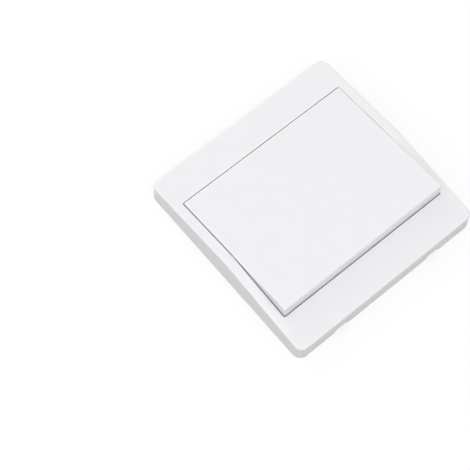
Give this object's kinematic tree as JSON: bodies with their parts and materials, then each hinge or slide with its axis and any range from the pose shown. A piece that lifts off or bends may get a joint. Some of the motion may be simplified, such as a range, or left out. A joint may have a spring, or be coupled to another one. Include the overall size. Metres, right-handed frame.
{
  "type": "wireless remote wall switch",
  "caption": "Square white wall plate with a shallow gable face and one large sprung rocker key, battery radio board inside, screwed to a standard wall box.",
  "frame": {"origin": "centre of the back of the plate, in the plane that lies on the wall", "axes": "+Z out of the wall, +Y up the wall, +X to the right seen from the front"},
  "size_m": [0.086, 0.086, 0.0149],
  "materials": {
    "front_frame": "white moulded plastic, satin gloss",
    "mounting_base": "white moulded plastic, fine matt",
    "rocker_key": "white moulded plastic, satin gloss",
    "circuit_board": "green solder mask on glass laminate",
    "board_screws": "nickel-plated steel",
    "return_spring": "drawn spring steel",
    "tact_base": "black moulded plastic",
    "tact_dome": "thin stainless sheet",
    "tact_plunger": "black moulded plastic",
    "tact_cover": "plated sheet steel",
    "tact_terminals": "silver-plated brass",
    "coin_cell": "stainless steel can",
    "cell_holder": "black moulded plastic",
    "cell_contact": "nickel-plated spring strip",
    "chip_package": "black epoxy",
    "chip_leads": "tinned leads",
    "saw_resonator": "nickel-plated can",
    "antenna_loop": "bare copper strip",
    "chip_capacitors": "brown ceramic",
    "chip_resistors": "black glaze on ceramic"
  },
  "bodies": {
    "case": {"front_frame": "front_frame", "mounting_base": "mounting_base", "circuit_board": "circuit_board", "board_screws": "board_screws", "return_spring_left": "return_spring", "return_spring_right": "return_spring", "tact_base": "tact_base", "tact_dome": "tact_dome", "tact_cover": "tact_cover", "tact_terminals": "tact_terminals", "coin_cell": "coin_cell", "cell_holder": "cell_holder", "positive_contact": "cell_contact", "negative_contact": "cell_contact", "encoder_chip": "chip_package", "encoder_leads": "chip_leads", "saw_resonator": "saw_resonator", "rf_transistor": "chip_package", "antenna_loop": "antenna_loop", "chip_capacitors": "chip_capacitors", "chip_resistors": "chip_resistors"},
    "key": {"rocker_key": "rocker_key"},
    "plunger": {"tact_plunger": "tact_plunger"}
  },
  "joints": [
    {"name": "key_rock", "type": "hinge", "parent": "case", "child": "key", "pos_m": [0, 0, 0.00969], "axis": [1, 0, 0], "range_deg": [0, 11.15], "stiffness_Nm_per_rad": 0.06, "springref_deg": -34.38, "deforming": ["return_spring_left", "return_spring_right"]},
    {"name": "plunger_press", "type": "slide", "parent": "case", "child": "plunger", "axis": [0, 0, -1], "range_m": [0, 0.00025]}
  ],
  "couplings": [
    {"joint": "plunger_press", "follows": "key_rock", "m_per_rad": 0.0012836}
  ]
}
